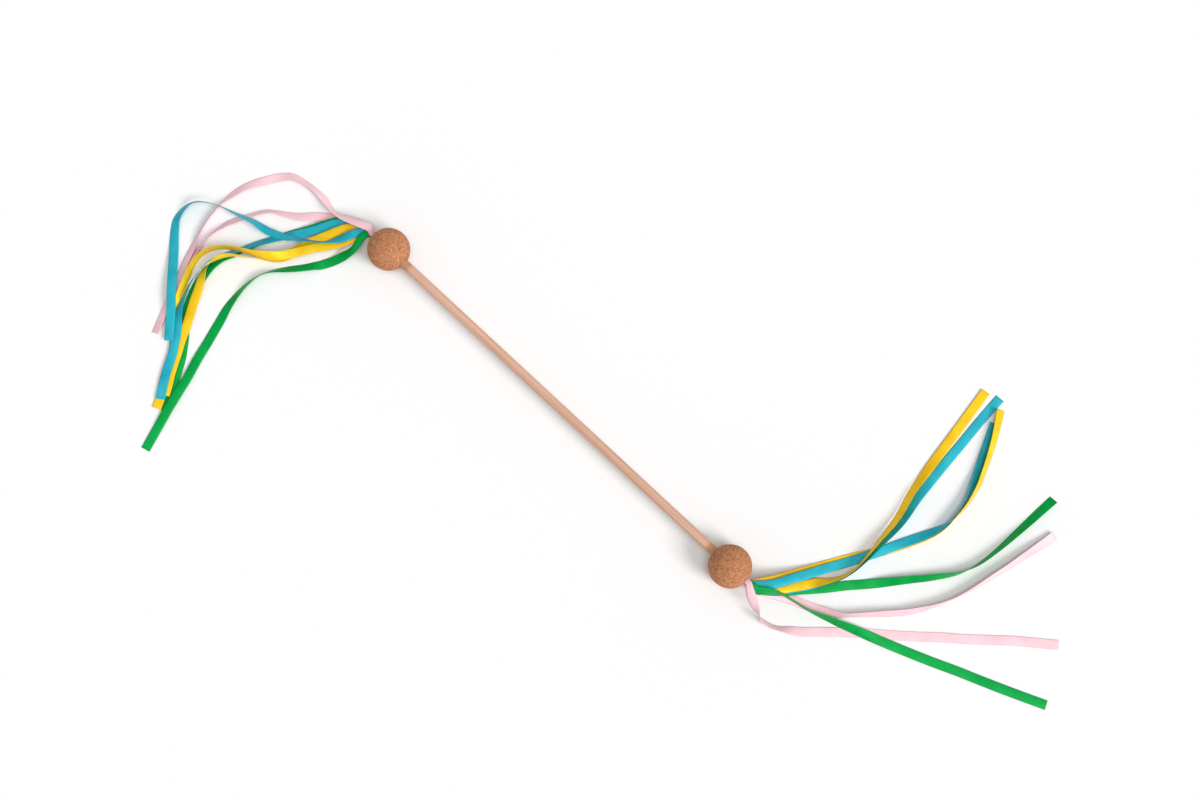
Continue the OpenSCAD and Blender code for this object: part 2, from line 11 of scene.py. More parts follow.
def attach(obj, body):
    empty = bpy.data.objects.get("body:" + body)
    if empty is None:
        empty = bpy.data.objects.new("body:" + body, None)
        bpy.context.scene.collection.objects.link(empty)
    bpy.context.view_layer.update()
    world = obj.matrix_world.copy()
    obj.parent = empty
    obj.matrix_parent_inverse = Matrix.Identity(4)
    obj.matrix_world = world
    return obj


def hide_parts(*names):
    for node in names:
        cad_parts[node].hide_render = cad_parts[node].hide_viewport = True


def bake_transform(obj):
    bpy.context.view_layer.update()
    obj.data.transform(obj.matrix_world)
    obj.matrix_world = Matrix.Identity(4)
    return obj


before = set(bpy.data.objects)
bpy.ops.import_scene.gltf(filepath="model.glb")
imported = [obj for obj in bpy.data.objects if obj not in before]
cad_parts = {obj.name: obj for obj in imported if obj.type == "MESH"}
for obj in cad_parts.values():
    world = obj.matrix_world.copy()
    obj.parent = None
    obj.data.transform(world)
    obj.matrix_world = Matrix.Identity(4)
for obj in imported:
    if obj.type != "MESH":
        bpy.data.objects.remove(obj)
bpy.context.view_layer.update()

MM = 0.001
CENTIMETRES_PER_METRE = 100
ENDS = {"left": -1, "right": 1}

# The wand, as in the part's source
BALL_RADIUS = 22.5 * MM
BALL_MIDDLE = 242.5 * MM
BORE_RADIUS = 5.05 * MM
ROD_RADIUS = 5 * MM
ROD_END = 250 * MM
POLE = BALL_MIDDLE + BALL_RADIUS
WAND_HEIGHT = BALL_RADIUS

# How finely a ball is cut, and the dents and pits in its skin
BALL_RIM = 0.7 * MM
BALL_STEPS = 150
BALL_SEGMENTS = 220
BORE_STEPS = 8
SKIN_SHARE = 0.98
DENTS_PER_METRE = 120
DENT_DEPTH = 0.06 * MM
PITS_PER_METRE = 700
PIT_DEPTH = 0.5 * MM
PIT_THRESHOLD = 0.3
PIT_SHIFT = (7, 3, 5)

# How the dowel is cut; the hair keeps its turned outline off the axis
ROD_BEVEL = 0.8 * MM
ROD_RINGS = 40
ROD_SEGMENTS = 96
AXIS_HAIR = 0.02 * MM

# The ribbons, as in the part's source, but a little thinner, as real satin is
LAYERS = 8
RIBBON_WIDTH = 10 * MM
SOLID_THICKNESS = 0.4 * MM
SATIN_THICKNESS = 0.26 * MM
GATHERED_SHARE = 0.65
STACK_SHARE = 0.64
GATHERED_WIDTH = 2 * BORE_RADIUS * GATHERED_SHARE
STACK_HEIGHT = 2 * BORE_RADIUS * STACK_SHARE
LAYER_PITCH = (STACK_HEIGHT - SOLID_THICKNESS) / (LAYERS - 1)
OPENING_LENGTH = 14 * MM
ROOT_GAP = 0.3 * MM
STRAIGHT_LEAD = 2 * MM
ROOT_LENGTH = 9 * MM

# The block of pressed roots: its gap to the dowel, its overlap with the ribbons and its slight waist
ROOTS_GAP = 0.1 * MM
ROOTS_OVERLAP = 0.2 * MM
ROOTS_WAIST = 0.04
ROOTS_STEPS = 6

# How finely a ribbon is cut, and the pleats that gathering gives it at the mouth
RINGS_PER_ROW = 7
SECTION_PIECES = 10
PLEATS = 3
PLEAT_HEIGHT = 0.16 * MM
SLOPE_STEP = 0.002

# Each satin's deep, main and light colour, and how much of it shines as metal does; the deep colour is also
# painted over each ribbon at the ball's mouth as shade
SATINS = {
    "pink": ((0.80, 0.46, 0.505), (0.90, 0.585, 0.635), (0.94, 0.68, 0.72), 0.03),
    "turquoise": ((0.004, 0.29, 0.37), (0.022, 0.41, 0.51), (0.06, 0.54, 0.63), 0.16),
    "yellow": ((0.70, 0.37, 0.006), (0.90, 0.56, 0.014), (0.95, 0.66, 0.045), 0.16),
    "green": ((0.0, 0.22, 0.034), (0.0, 0.34, 0.058), (0.006, 0.48, 0.10), 0.16),
}

# How far from its middle a ribbon's selvedge begins and is full, as shares of its width
SELVEDGE = (0.455, 0.475)
# A ramp's 0 to 1 covers this many ribbon widths of a ribbon, from its root
RAMP_WIDTHS = 10
# A ramp's 0 to 1 covers a quarter of a metre of the dowel, from its middle
RAMPS_PER_METRE = 4
# Where the brown band beside a ball begins and is full, on that ramp
BAND = (0.846, 0.860)

# Cork: how its grains are squeezed along the dowel, how many lie in a metre and how far drift moves them
CORK_SQUEEZE = (1.9, 1, 1)
GRAINS_PER_METRE = 640.0
GRAIN_DRIFT = 1.6 * MM

# Camera, from the photograph's vanishing lines: the turn of the dowel in the frame,
# and the tilt off the vertical
CAMERA_PLACE = (0.2013, -0.1496, 1.6156)
CAMERA_TURN = math.radians(43.1)
CAMERA_TILT = math.radians(9.0)
CAMERA_LENS = 46.8
CAMERA_SENSOR = 36.0
CAMERA_REACH = 200

# Each sun's way to the photograph's right, down in it and up from the floor, its strength, and its
# width in degrees
SUNS = {
    "key": (0.72, 0.5, 0.78, 2.1, 24),
    "top": (0.3, 0.5, 3.0, 0.82, 24),
}
SURROUND = 0.48

# The floor's flat part and its whole, from the middle to a side, and how high its far border rises,
# all in metres
FLOOR_FLAT = 10
FLOOR_WIDE = 30
FLOOR_RISE = 2

# The ribbons of each end as they lie in the bore, from the top layer to the bottom one
STACKS = {
    "left": (
        "left_pink_ribbon_1", "left_green_ribbon_1", "left_turquoise_ribbon_1", "left_yellow_ribbon_1",
        "left_yellow_ribbon_2", "left_turquoise_ribbon_2", "left_green_ribbon_2", "left_pink_ribbon_2",
    ),
    "right": (
        "right_pink_ribbon_2", "right_green_ribbon_2", "right_turquoise_ribbon_2", "right_yellow_ribbon_2",
        "right_yellow_ribbon_1", "right_turquoise_ribbon_1", "right_green_ribbon_1", "right_pink_ribbon_1",
    ),
}

# Each row is one place on a ribbon's middle line, from the ball to the tip, as in the part's source:
# millimetres out from the ball's pole, across the dowel and up to the lower edge, and roll in degrees.
ROUTES = {
    "left_pink_ribbon_1": [
        (4, 1.2, 25.2, 0), (9, 2.4, 24.8, -3), (15, 1, 23.2, -8), (21, -1, 20.8, -14), (27, -3, 18, -20),
        (33, -5, 15, -28), (39, -7, 12, -38), (45, -8.5, 9, -50), (51, -9.3, 6.5, -57), (58, -8.9, 4, -57),
        (65, -7.5, 2.4, -49), (72, -6, 1.4, -43), (81, -5.4, 0.6, -50), (91, -5.7, 0.2, -52),
        (99, -7, 0.2, -48), (106, -8.6, 0.2, -40), (112, -10.6, 0.2, -30), (117.5, -14, 0.2, -20),
        (124, -21, 0.2, -10), (130, -30, 0.2, -2), (136.3, -40, 0.2, -12), (141.5, -50, 0.2, -26),
        (145, -60, 0.2, -30), (147, -70, 0.2, -38), (148, -79, 0.2, -50), (148.3, -87, 0.2, -61),
        (147.8, -95, 0.2, -63), (146.6, -105, 0.2, -62), (144.7, -115, 0.2, -60), (142.2, -124, 0.2, -57),
        (139.5, -132, 0.2, -51), (136, -141, 0.2, -40), (132.2, -152, 0.2, -31), (127.5, -163, 0.2, -28),
        (120.5, -180, 0.2, -25), (113.5, -198, 0.2, -26), (106.5, -215, 0.2, -29),
        (99.5, -231.5, 0.2, -30),
    ],
    "left_pink_ribbon_2": [
        (5, -1.2, 17.8, 0), (12, -2.4, 15.4, 0), (20, -4, 12.6, 0), (28, -6, 9.4, 0), (36, -8.5, 6.4, 0),
        (43, -11, 3.9, -4), (49, -14, 2.1, -9), (55, -17.5, 0.9, -15), (61, -21.5, 0.2, -12),
        (68, -28, 0.2, -9), (75, -35, 0.2, -19), (81, -40.3, 0.2, -26), (88, -44.8, 0.2, -39),
        (95, -48.8, 0.2, -49), (101, -52.5, 0.2, -55), (107, -57.8, 0.2, -52), (112, -65, 0.2, -49),
        (116, -72, 0.2, -47), (120, -79, 0.2, -43), (124, -86.5, 0.2, -37), (127.7, -94.5, 0.2, -41),
        (130, -103, 0.2, -50), (131.5, -112, 0.2, -58), (131.9, -121, 0.2, -64), (131.4, -131, 0.2, -62),
        (130.4, -140, 0.2, -52), (128.8, -150, 0.2, -37), (126, -160, 0.2, -24), (121.9, -171, 0.2, -15),
        (117.2, -182, 0.2, -10), (112.4, -193, 0.2, -8), (107, -203, 0.2, -6),
    ],
    "left_turquoise_ribbon_1": [
        (5, -1.5, 23.1, 0), (10.5, -6, 21.9, 0), (16.5, -12, 20, -4), (20, -19, 17.8, -14),
        (23.3, -26, 15.8, -24), (27.5, -32, 14.4, -44), (31.5, -37.5, 13.6, -60), (36, -42, 13.1, -66),
        (42.5, -47, 12.6, -65), (49.5, -52, 12.1, -62), (57.2, -57.1, 11.5, -53), (63, -60.6, 11, -42),
        (68, -64, 10.5, -35), (73.2, -66.5, 10, -27), (79, -69, 9.6, -24), (88, -72.2, 9.2, -26),
        (97, -74, 9, -38), (106.5, -75.6, 9, -52), (116, -78.8, 9.2, -58), (126, -82.3, 9.6, -66),
        (135.8, -85.3, 10, -73), (143.7, -88, 10.1, -75), (151, -91.2, 9.4, -74), (157.5, -94.8, 8.2, -71),
        (163, -98.5, 6.7, -67), (168, -102.8, 4.8, -61), (171.2, -108, 3, -54), (172.9, -114, 1.5, -47),
        (173, -121, 0.6, -40), (170.8, -130, 0.2, -28), (166, -137, 0.2, -17), (159, -145, 0.6, -8),
        (149, -155, 2.3, 0), (138, -166, 5.3, 0), (126, -178, 8.5, 0), (113, -191.5, 9.8, 0),
        (99, -207, 7, 0), (82.5, -227, 4.4, 0),
    ],
    "left_turquoise_ribbon_2": [
        (6, -2, 19.9, 0), (13, -4, 17.7, 0), (21, -6.5, 15.3, 0), (29, -9, 13, 0), (36, -11.8, 11, 0),
        (40.8, -16, 9.7, 0), (45.4, -22.2, 8.2, 0), (50, -30, 6.6, 0), (54.8, -38, 5.2, 0),
        (60, -46, 3.8, 0), (65.5, -53, 2.8, -8), (70.8, -60, 2, -21), (76.8, -69.5, 1.5, -32),
        (82, -77.5, 1.4, -38), (86.7, -85, 1.4, -42), (90.7, -92.5, 1.4, -43), (94.3, -100, 1.4, -43),
        (98, -108, 1.5, -46), (101.8, -115, 1.6, -52), (106.2, -121.5, 1.6, -62), (109.8, -128, 1.5, -69),
        (112, -135, 1.2, -73), (112.8, -142, 1, -74), (112.8, -150, 0.8, -72), (112.2, -158, 0.8, -68),
        (109.8, -168, 1.6, -61), (105.8, -178, 3, -54), (101.3, -188, 4.2, -44), (95.6, -198.5, 4.4, -28),
        (90.5, -206, 4.1, -12), (85, -213, 3.6, 0), (77, -224, 3.3, 0), (69.5, -235.5, 3.2, 0),
        (62, -250, 3.2, 0), (55, -262, 3.2, 0), (45, -277, 3.2, 0),
    ],
    "left_yellow_ribbon_1": [
        (5, -1.8, 22.1, 0), (9.5, -6.5, 20.9, 0), (13, -12, 19.2, 0), (17, -19, 16.8, 0),
        (20.3, -26, 14.8, 0), (24.8, -33, 13.4, 0), (30, -40.5, 12.3, 0), (38, -50, 11.6, 0),
        (45, -60.3, 11.2, 0), (51, -70, 11, 5), (57.5, -80, 11, 12), (64, -87.5, 11.1, 26),
        (71.5, -93.8, 11.2, 46), (79.5, -98.7, 11.1, 66), (88, -103.5, 10.6, 72), (97, -108.3, 9.7, 78),
        (105.5, -113.5, 7.5, 80), (112.5, -118.7, 4.6, 81), (118, -124.2, 2, 80), (122, -130.5, 0.6, 79),
        (124, -138, 0.2, 79), (123.9, -146, 0.2, 77), (121.7, -156, 0.2, 72), (117.5, -166, 0.2, 66),
        (112.8, -176.5, 0.2, 58), (107.5, -187, 0.3, 40), (101, -198, 0.8, 18), (92.5, -209, 1.1, 4),
        (83, -219.5, 1.2, 0), (73.5, -230, 1.2, 0), (67, -240, 1.2, 0), (61.5, -250, 1.2, 0),
        (55.5, -260, 1.2, 0), (49.5, -270, 1.2, 0), (45, -279, 1.2, 0), (41.2, -286.5, 1.2, 0),
    ],
    "left_yellow_ribbon_2": [
        (6, -2, 20.9, 0), (13, -4.5, 18.7, 0), (20, -7.5, 16.7, 0), (26, -11.5, 15, 0),
        (30.2, -16, 13.8, 0), (33, -21, 12.7, 0), (35.7, -26, 11.8, 0), (38, -31, 10.9, 0),
        (40.7, -36, 10, 0), (43.5, -41.5, 8.9, 0), (46.5, -48, 7.6, 0), (49.3, -55, 6.2, 0),
        (52, -63, 4.6, 4), (54.5, -71, 3.2, 12), (58, -80, 1.8, 30), (63.5, -88, 0.8, 52),
        (70.5, -94.8, 0.3, 78), (78, -101, 0.3, 96), (85.5, -106.7, 1.8, 96), (92.5, -112.3, 4.3, 91),
        (98.5, -117.5, 5.8, 84), (103.5, -123.5, 6.1, 80), (106.4, -130, 5.8, 86), (108, -136, 5.2, 98),
        (108.8, -142, 4.8, 116), (108.3, -148, 4.4, 134), (106, -154, 3.8, 152), (102.8, -161, 3.2, 168),
        (98.8, -169, 2.7, 176), (93.6, -180, 2.3, 180), (86, -194, 2.2, 180), (78.2, -209, 2.2, 180),
        (73, -220, 2.2, 180), (67.4, -230, 2.2, 180), (62.3, -240, 2.2, 180), (57, -250, 2.2, 180),
        (50.7, -260, 2.2, 180), (44.3, -271, 2.2, 180),
    ],
    "left_green_ribbon_1": [
        (4.4, -1.8, 24.1, 0), (6.6, -6.3, 23.3, 0), (7, -11.3, 22.4, 0), (6.3, -16, 20.6, 0),
        (6, -21, 17.5, -4), (6.8, -25.5, 13.9, -5), (8.6, -30.2, 10.2, -5), (10.9, -35, 7, 0),
        (13.3, -39.8, 4.2, 0), (15.8, -44.8, 2.3, 0), (18.5, -50, 1, 0), (24, -59.5, 0.2, -3),
        (28, -65, 0.2, -20), (32, -70.5, 0.2, -27), (37.5, -77.5, 0.2, -33), (43.5, -84.5, 0.2, -37),
        (49, -91, 0.2, -46), (54, -97, 0.2, -56), (58.5, -103.5, 0.2, -65), (61.8, -110, 0.2, -68),
        (64, -117, 0.2, -65), (65.2, -124, 0.2, -59), (65.8, -132, 0.2, -53), (65.6, -141, 0.2, -45),
        (64.8, -150, 0.2, -35), (63.3, -160, 0.2, -22), (60.8, -170, 0.2, -8), (58, -180, 0.3, 0),
        (52.5, -200, 0.8, 0), (47.3, -220, 1.6, 0), (41, -240, 2.6, 0), (36, -260, 3.1, 0),
        (31, -280, 3, 0), (25.7, -300, 1.4, 0), (19, -325, 0.2, 0),
    ],
    "left_green_ribbon_2": [
        (6, -2, 18.9, 0), (13, -4, 16.6, 0), (21, -6.3, 14, 0), (29, -8.7, 11.5, 0), (36.5, -11, 9.5, 0),
        (43, -14.8, 7.9, 0), (47.8, -21.3, 6.4, 0), (52.5, -29.2, 4.9, 0), (57.3, -37.2, 3.5, 0),
        (62.3, -45.2, 2.2, 0), (67.3, -52.8, 1.2, -8), (72, -60, 0.5, -20), (77.3, -69, 0.2, -30),
        (82.2, -77.5, 0.2, -37), (86.6, -85, 0.2, -41), (90.3, -92.5, 0.2, -43), (93.8, -100, 0.2, -40),
        (97.2, -107.5, 0.2, -30), (100.5, -114.2, 0.2, -20), (103.5, -120, 0.2, -18),
        (106, -126.5, 0.2, -20), (107.2, -133.5, 0.2, -21), (107.5, -141, 0.2, -22), (107, -150, 0.2, -15),
        (105.5, -160, 0.2, -6), (102.8, -170, 0.2, 0), (98.8, -180, 0.2, 0), (93.5, -190, 0.2, 0),
        (88, -198.5, 0.2, 0), (81.5, -206, 0.2, 0), (74.5, -213.5, 0.2, 0), (67.7, -222, 0.2, 0),
        (60, -232.5, 0.2, 0), (53, -245, 0.2, 0), (46, -258, 0.2, 0), (39, -270.5, 0.2, 0),
        (31.7, -283, 0.2, 0),
    ],
    "right_pink_ribbon_1": [
        (4.4, 0.6, 17.1, 0), (11, 1.8, 14.5, 0), (17, 4, 11.6, 0), (23, 7, 8.8, 0), (29, 10.4, 6.3, 0),
        (35.5, 13.8, 4.1, 0), (42.5, 17.4, 2.4, 0), (50, 21, 1.1, 0), (58, 24.2, 0.4, 0),
        (66, 27.6, 0.2, 0), (74, 31, 0.2, 8), (82, 34.8, 0.2, 25), (89, 38.5, 0.2, 45),
        (95, 42.6, 0.2, 60), (100.5, 47.8, 0.2, 70), (106, 53.5, 0.2, 68), (112.5, 60, 0.2, 64),
        (120, 67.8, 0.2, 60), (128, 75.8, 0.2, 54), (136, 84.3, 0.2, 53), (143.5, 93, 0.2, 55),
        (150.5, 102.8, 0.2, 60), (156.5, 112, 0.2, 70), (162, 121.5, 0.2, 75), (166.8, 131.5, 0.2, 80),
        (171.3, 142.5, 0.2, 78), (175.3, 154, 0.2, 72), (179.2, 167, 0.2, 65), (183, 181, 0.2, 60),
        (187, 195, 0.2, 55), (190.8, 210, 0.2, 48), (194.5, 225, 0.2, 40), (198.3, 240, 0.2, 27),
        (201.5, 254.5, 0.2, 17),
    ],
    "right_pink_ribbon_2": [
        (4, -0.8, 25.1, 0), (8, -3.8, 24, 8), (12, -6.6, 21.8, 20), (16, -8.8, 19, 30),
        (20.5, -10.8, 15.8, 34), (25, -12.8, 12.5, 48), (29, -14.8, 9.8, 66), (33, -16.5, 7.6, 92),
        (37, -17.3, 5.8, 112), (41.5, -17, 4.2, 118), (47, -15.8, 2.6, 120), (53, -13.4, 1.3, 120),
        (59, -10, 0.4, 125), (64.5, -6.2, 0.2, 142), (70, -2.2, 0.2, 157), (76, 2.2, 0.2, 168),
        (83, 8.5, 0.2, 175), (92, 17, 0.2, 180), (102, 26, 0.2, 180), (113, 35.8, 0.2, 180),
        (125, 46.2, 0.2, 180), (138, 56.5, 0.2, 180), (152, 68, 0.2, 180), (168, 81.5, 0.2, 180),
        (185, 96.5, 0.2, 180), (203, 111, 0.2, 180), (222, 127.5, 0.2, 180), (242, 145, 0.2, 180),
        (260, 159, 0.2, 180), (277.5, 172.5, 0.2, 180),
    ],
    "right_turquoise_ribbon_1": [
        (4.2, 0.6, 19.8, 0), (9, 2.7, 17.6, 0), (14, 5.2, 15.3, 0), (19.3, 8.6, 13, 0),
        (24.6, 12.4, 10.9, 0), (29.8, 16.8, 8.9, 0), (34.5, 22, 7.2, 0), (38.7, 27.5, 5.8, 0),
        (43.3, 33.3, 4.5, 0), (48.3, 40, 3.3, -3), (53.4, 47, 2.3, -15), (58.4, 53.5, 1.6, -38),
        (63.2, 59.5, 1.4, -58), (67.5, 65.8, 1.4, -72), (71, 72.8, 1.5, -80), (73.5, 80.5, 1.7, -84),
        (75, 89, 2, -82), (75.6, 98, 2.2, -78), (75.9, 108, 2.2, -72), (76, 118, 2, -67),
        (76.3, 128, 1.6, -62), (76.8, 138, 1.1, -57), (77, 148, 0.6, -51), (76.5, 158, 0.2, -45),
        (75.2, 168, 0.2, -37), (73.5, 178, 0.2, -30), (72.2, 188, 0.2, -24), (71.4, 199, 0.2, -13),
        (70.7, 212, 0.2, -4), (70, 227, 0.2, 0), (69.3, 244, 0.2, 0), (68.6, 262, 0.2, 0),
        (67.6, 282, 0.2, 0), (66.9, 303, 0.2, 0), (66.5, 325, 0.2, 0),
    ],
    "right_turquoise_ribbon_2": [
        (4, 0.8, 22.9, 0), (8, 3, 21.9, 0), (12, 6.2, 20.6, 0), (16, 10, 18.8, 0), (20, 14.8, 16.7, 0),
        (23.7, 20, 14.5, 0), (27, 25.5, 12.2, 0), (31, 32.5, 9.9, 0), (35.7, 40.3, 7.8, 0),
        (41.5, 50.3, 5.6, 0), (47.3, 60.3, 3.8, 0), (53.3, 70.5, 2.4, 0), (59.3, 80.5, 1.5, 0),
        (65, 90.5, 1.1, 0), (70.5, 100.3, 1, 0), (75.8, 110, 1, 0), (81.3, 120, 1, 0), (86.5, 130, 1, 0),
        (91.5, 140, 1, -5), (97, 150.5, 1, -12), (102, 160.5, 1, -25), (106.5, 170.5, 1, -42),
        (110, 180, 1, -63), (112, 189, 0.8, -85), (112.8, 198, 0.6, -100), (112.5, 207, 0.4, -104),
        (111.5, 216, 0.2, -113), (109.5, 225.5, 0.2, -130), (106, 236, 0.2, -145), (101.8, 247, 0.2, -158),
        (97, 259, 0.2, -168), (92, 271.5, 0.2, -172), (86.5, 285, 0.2, -175), (79.8, 301, 0.2, -176),
    ],
    "right_yellow_ribbon_1": [
        (4.4, 0.8, 20.9, 0), (9, 3, 18.9, 0), (14, 5.8, 16.7, 0), (19, 9.2, 14.5, 0), (24, 13, 12.3, 0),
        (29, 17.3, 10.3, 0), (33.5, 22.6, 8.6, 0), (37.5, 28, 7.1, 0), (42, 33.8, 5.7, 0),
        (47, 40.5, 4.6, -3), (52, 47.5, 3.7, -15), (57, 54, 3.1, -38), (61.8, 60.2, 2.8, -55),
        (66, 66.5, 2.7, -66), (69.5, 73.5, 2.6, -74), (71.8, 81, 2.6, -80), (73.2, 89.5, 2.6, -83),
        (73.6, 98.5, 2.6, -83), (73.4, 108, 2.5, -81), (72.9, 118, 2.4, -79), (72.3, 128, 2.1, -75),
        (71.8, 138, 1.8, -67), (71.3, 148, 1.6, -61), (70.2, 158, 1.3, -57), (68.2, 168, 1, -53),
        (65.7, 178, 1, -50), (63.7, 188, 1, -48), (62.4, 199, 1, -40), (61.2, 212, 1, -27),
        (59.8, 227, 1, -15), (58.3, 244, 1, -7), (56.7, 262, 1, -3), (54.7, 282, 1, 0), (52.7, 301, 1, 0),
        (50.7, 320, 1, 0),
    ],
    "right_yellow_ribbon_2": [
        (4.6, 1.4, 21.9, 0), (8, 5.4, 20.4, 0), (11.5, 9.6, 18.6, 0), (14.6, 13.8, 16.6, 0),
        (18.3, 18.6, 14, 0), (21.8, 24, 11.4, 0), (25.5, 30, 8.9, 0), (30, 37.5, 6.4, 0), (35, 46, 4.2, 0),
        (40.6, 55.5, 2.4, 0), (46.5, 65.5, 1.2, 0), (52.4, 75.5, 0.5, 0), (58.2, 85.3, 0.2, 0),
        (64, 94.5, 0.2, 0), (70, 103.5, 0.2, 0), (76, 112, 0.2, 0), (82.3, 121, 0.2, 0),
        (88, 130.5, 0.2, 0), (93.3, 140.5, 0.2, -5), (98.7, 151, 0.2, -14), (103.9, 161, 0.2, -30),
        (108.4, 170.5, 0.2, -48), (111.7, 179.5, 0.2, -68), (113.7, 189, 0.4, -86),
        (114.6, 199, 0.6, -102), (114.7, 209, 0.8, -106), (114, 219, 1, -112), (112.3, 229.5, 1.2, -118),
        (109.5, 240.5, 1.4, -123), (105.3, 252, 1.4, -127), (100.5, 264, 1.4, -130),
        (95.3, 276, 1.4, -134), (89.5, 288.5, 1.4, -139), (82.8, 301, 1.4, -145), (75, 315.5, 1.4, -155),
    ],
    "right_green_ribbon_1": [
        (4.4, 0.6, 18.5, 0), (11, 2.4, 15.7, 0), (17, 5.3, 13, 0), (23, 9.3, 10.4, 0), (28.5, 14, 8.1, 0),
        (34, 19.5, 6, 0), (39.3, 25, 4.4, 0), (44.2, 30.5, 3.1, 0), (49, 35.8, 2.1, 0), (54, 41, 1.3, 0),
        (59, 46.5, 0.7, 0), (64, 51.8, 0.3, 0), (69, 57.7, 0.2, 0), (75, 65, 0.2, 0), (82, 73, 0.2, 0),
        (90, 81.5, 0.2, 0), (98.5, 90.8, 0.2, 10), (107, 100.5, 0.2, 25), (115.5, 110.2, 0.2, 36),
        (124, 120, 0.2, 42), (132.5, 129.5, 0.2, 47), (140.5, 139, 0.2, 55), (148, 148, 0.2, 65),
        (154.5, 157, 0.2, 76), (159.5, 166.5, 0.2, 88), (163, 177, 0.2, 100), (165.5, 188, 0.2, 105),
        (167.5, 200, 0.2, 110), (169.3, 214, 0.2, 118), (171, 230, 0.2, 128), (172.8, 247, 0.2, 138),
        (174.5, 264, 0.2, 146), (176.5, 282, 0.2, 154),
    ],
    "right_green_ribbon_2": [
        (4, 0.2, 23.9, 0), (8.5, 0.4, 23, 10), (12.5, 0.8, 21.4, 20), (16.5, 2.8, 19.7, 35),
        (20.5, 6.2, 17.8, 48), (24.5, 9.4, 15.6, 57), (29, 12.5, 13, 66), (34, 15, 10.3, 74),
        (40, 17.4, 7.5, 80), (47, 19, 4.8, 82), (54, 20.6, 2.8, 83), (61, 22, 1.7, 82),
        (68, 23.8, 1.3, 79), (75, 26, 1.2, 73), (82, 28.6, 1.2, 65), (89, 31.3, 1.2, 58),
        (96, 33.8, 1.2, 51), (103, 36.4, 1.2, 44), (110, 39.2, 1.2, 36), (118, 42.3, 1.2, 24),
        (127, 45.6, 1.2, 12), (138, 49.6, 1.2, 3), (150, 54, 1, 0), (165, 59.7, 0.5, 0),
        (182, 66.3, 0.2, 0), (200, 73.6, 0.2, 0), (220, 82, 0.2, 0), (242, 90.6, 0.2, 0),
        (265, 99.8, 0.2, 0), (287, 109, 0.2, 0), (307.5, 117.7, 0.2, 0),
    ],
}


def picture_ways():
    """The photograph's right and its down, as level directions in the part's frame."""
    right = Vector((math.cos(CAMERA_TURN), math.sin(CAMERA_TURN), 0))
    down = Vector((math.sin(CAMERA_TURN), -math.cos(CAMERA_TURN), 0))
    return right, down


def add_camera():
    """The camera at the photograph's own place and angle."""
    camera = bpy.data.cameras.new("camera")
    camera.lens = CAMERA_LENS
    camera.sensor_width = CAMERA_SENSOR
    camera.clip_end = CAMERA_REACH
    obj = bpy.data.objects.new("camera", camera)
    bpy.context.scene.collection.objects.link(obj)
    right, down = picture_ways()
    up = Vector((0, 0, math.sin(CAMERA_TILT))) - down * math.cos(CAMERA_TILT)
    back = right.cross(up)
    turn = Matrix((right, up, back)).transposed().to_4x4()
    obj.matrix_world = Matrix.Translation(CAMERA_PLACE) @ turn
    bpy.context.scene.camera = obj


def new_object(name, points, faces, smooth=True):
    """A mesh object in the scene from points and faces."""
    mesh = bpy.data.meshes.new(name)
    mesh.from_pydata([tuple(p) for p in points], [], faces)
    mesh.update()
    mesh.polygons.foreach_set("use_smooth", [smooth] * len(mesh.polygons))
    obj = bpy.data.objects.new(name, mesh)
    bpy.context.scene.collection.objects.link(obj)
    return obj


def new_material(name):
    """A node material, with its tree and its main shader."""
    material = bpy.data.materials.new(name)
    material.use_nodes = True
    tree = material.node_tree
    return material, tree, tree.nodes["Principled BSDF"]


def add_node(tree, kind, inputs, **settings):
    """A node with its input values and settings; an input value that is a socket is linked."""
    made = tree.nodes.new(kind)
    for key, value in settings.items():
        setattr(made, key, value)
    for key, value in inputs.items():
        if isinstance(value, bpy.types.NodeSocket):
            tree.links.new(value, made.inputs[key])
        else:
            made.inputs[key].default_value = value
    return made


def colour_ramp(tree, factor, stops):
    """The colour output of a ramp with the given (place, colour) stops."""
    ramp = add_node(tree, "ShaderNodeValToRGB", {"Fac": factor})
    elements = ramp.color_ramp.elements
    elements[0].position, elements[0].color = stops[0][0], (*stops[0][1], 1)
    elements[1].position, elements[1].color = stops[-1][0], (*stops[-1][1], 1)
    for place, colour in stops[1:-1]:
        elements.new(place).color = (*colour, 1)
    return ramp.outputs["Color"]


def grey_ramp(tree, factor, low, high, first=0.0, last=1.0):
    """A ramp from one grey to another between two places."""
    return colour_ramp(tree, factor, [(low, (first,) * 3), (high, (last,) * 3)])


def mix_colours(tree, factor, first, second):
    """The colour output of a mix; factor and colours are sockets or values."""
    made = add_node(tree, "ShaderNodeMix", {0: factor}, data_type="RGBA")
    for index, colour in ((6, first), (7, second)):
        if isinstance(colour, bpy.types.NodeSocket):
            tree.links.new(colour, made.inputs[index])
        else:
            made.inputs[index].default_value = (*colour, 1)
    return made.outputs[2]


def calculate(tree, operation, first, second=0.0):
    """The value output of a Math node."""
    return add_node(tree, "ShaderNodeMath", {0: first, 1: second}, operation=operation).outputs[0]


def share_of(tree, value, share):
    """A value times a fixed share."""
    return calculate(tree, "MULTIPLY", value, share)


def calculate_vector(tree, operation, inputs):
    """The vector output of a Vector Math node, or its value output for a length."""
    made = add_node(tree, "ShaderNodeVectorMath", dict(enumerate(inputs)), operation=operation)
    return made.outputs["Value" if operation == "LENGTH" else "Vector"]


def add_bump(tree, height, strength, distance, normal=None):
    """The normal output of a Bump node, on top of another bump where one is given."""
    inputs = {"Height": height, "Strength": strength, "Distance": distance}
    if normal:
        inputs["Normal"] = normal
    return add_node(tree, "ShaderNodeBump", inputs).outputs["Normal"]


def stretched(tree, place, scale):
    """A place, scaled along each of its directions."""
    return add_node(tree, "ShaderNodeMapping", {"Vector": place, "Scale": scale}).outputs["Vector"]


